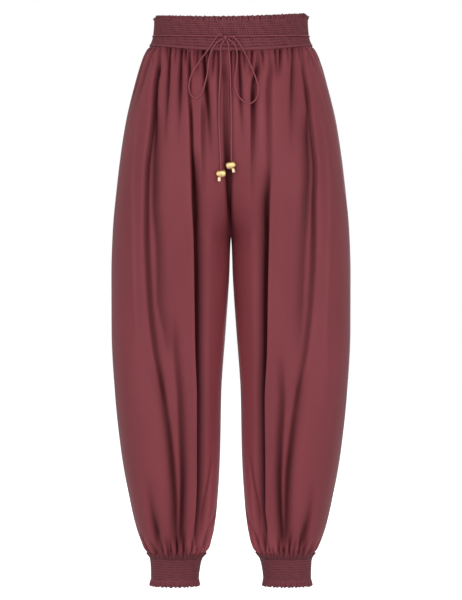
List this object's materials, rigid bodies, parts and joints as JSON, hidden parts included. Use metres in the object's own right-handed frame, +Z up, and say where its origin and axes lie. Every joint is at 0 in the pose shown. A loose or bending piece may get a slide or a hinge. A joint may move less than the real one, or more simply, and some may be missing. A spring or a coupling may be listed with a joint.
{
  "type": "trousers",
  "caption": "Balloon-leg trousers in satin with smocked elastic waistband and cuffs and a bow-tied drawstring with bead ends, filled out as worn.",
  "frame": {"origin": "middle of the waist at the drawstring's height, where the wearer's waist holds the garment", "axes": "+Z up to the waist's frill, -Y out of the front, +X to the wearer's left"},
  "size_m": [0.4138, 0.2821, 0.993],
  "materials": {
    "satin": "soft satin sheen",
    "drawstring": "satin rouleau cord",
    "bead_gold": "polished gold",
    "peg_gold": "polished pale gold"
  },
  "bodies": {
    "root": {"waistband_front": "satin", "waistband_back": "satin", "leg_front_left": "satin", "leg_front_right": "satin", "leg_back_left": "satin", "leg_back_right": "satin", "cuff_left": "satin", "cuff_right": "satin", "drawstring_waist": "drawstring", "drawstring_knot": "drawstring", "bow_loop_left": "drawstring", "bow_loop_right": "drawstring", "drawstring_end_left": "drawstring", "drawstring_end_right": "drawstring", "bead_left": "bead_gold", "bead_right": "bead_gold", "bead_peg_left": "peg_gold", "bead_peg_right": "peg_gold"}
  },
  "joints": []
}
